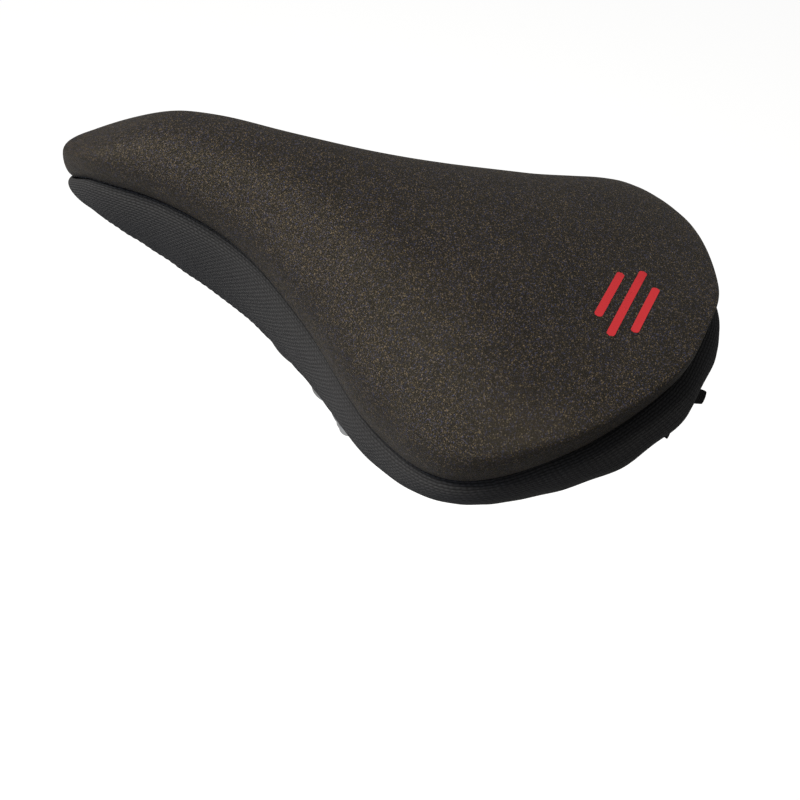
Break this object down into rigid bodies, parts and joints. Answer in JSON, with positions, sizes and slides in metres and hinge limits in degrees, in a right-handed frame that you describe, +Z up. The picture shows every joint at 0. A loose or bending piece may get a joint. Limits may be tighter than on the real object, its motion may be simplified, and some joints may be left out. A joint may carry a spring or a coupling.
{
  "type": "bicycle saddle",
  "caption": "Bicycle saddle in a slip-on padded gel cover, on two steel rails held by a tilting seat clip for a plain round post.",
  "frame": {"origin": "centre of the seat clip band's bore, at the band's lower rim", "axes": "+X to the saddle's nose, +Y to the rider's left, +Z up the post towards the rider"},
  "size_m": [0.308, 0.2176, 0.1166],
  "materials": {
    "cover_fabric": "satin stretch fabric laminated on thin foam, near black",
    "skirt_fabric": "matt ribbed stretch knit, charcoal",
    "gel": "soft clear blue gel",
    "lining_fabric": "brushed knit lining",
    "saddle_vinyl": "grained black vinyl",
    "foam": "open-cell polyurethane foam",
    "base_plastic": "moulded black polypropylene",
    "rail_steel": "black coated steel rod",
    "clip_steel": "pressed plated steel",
    "fastener_steel": "bright zinc-plated steel",
    "cord_fabric": "braided elastic cord, black",
    "lock_plastic": "black acetal",
    "print_red": "thin red transfer print, satin"
  },
  "bodies": {
    "post_clip": {"clip_band": "clip_steel", "clamp_stud": "fastener_steel"},
    "rail_clamp": {"inner_cheek_left": "clip_steel", "inner_cheek_right": "clip_steel", "outer_cheek_left": "clip_steel", "outer_cheek_right": "clip_steel", "clamp_washer_left": "fastener_steel", "clamp_washer_right": "fastener_steel", "clamp_nut_left": "fastener_steel", "clamp_nut_right": "fastener_steel"},
    "saddle": {"rail_left": "rail_steel", "rail_right": "rail_steel", "saddle_base": "base_plastic", "foam_pad": "foam", "saddle_skin": "saddle_vinyl", "cover_lining": "lining_fabric", "gel_pad": "gel", "cover_top_panel": "cover_fabric", "cover_skirt": "skirt_fabric", "elastic_drawcord": "cord_fabric"},
    "cord_lock": {"cord_lock_body": "lock_plastic", "cord_lock_spring": "fastener_steel"},
    "lock_button": {"cord_lock_button": "lock_plastic"}
  },
  "joints": [
    {"name": "saddle_tilt", "type": "hinge", "parent": "post_clip", "child": "rail_clamp", "pos_m": [-0.021, 0, 0.014], "axis": [0, 1, 0], "range_deg": [-20, 20]},
    {"name": "saddle_fore_aft", "type": "slide", "parent": "rail_clamp", "child": "saddle", "axis": [1, 0, 0], "range_m": [-0.012, 0.012]},
    {"name": "cord_lock_slide", "type": "slide", "parent": "saddle", "child": "cord_lock", "axis": [1, 0, 0], "range_m": [0, 0.009]},
    {"name": "lock_button_press", "type": "slide", "parent": "cord_lock", "child": "lock_button", "axis": [0, 0, 1], "range_m": [0, 0.0026], "stiffness_N_per_m": 300, "springref_m": -0.003, "deforming": ["cord_lock_spring"]}
  ]
}
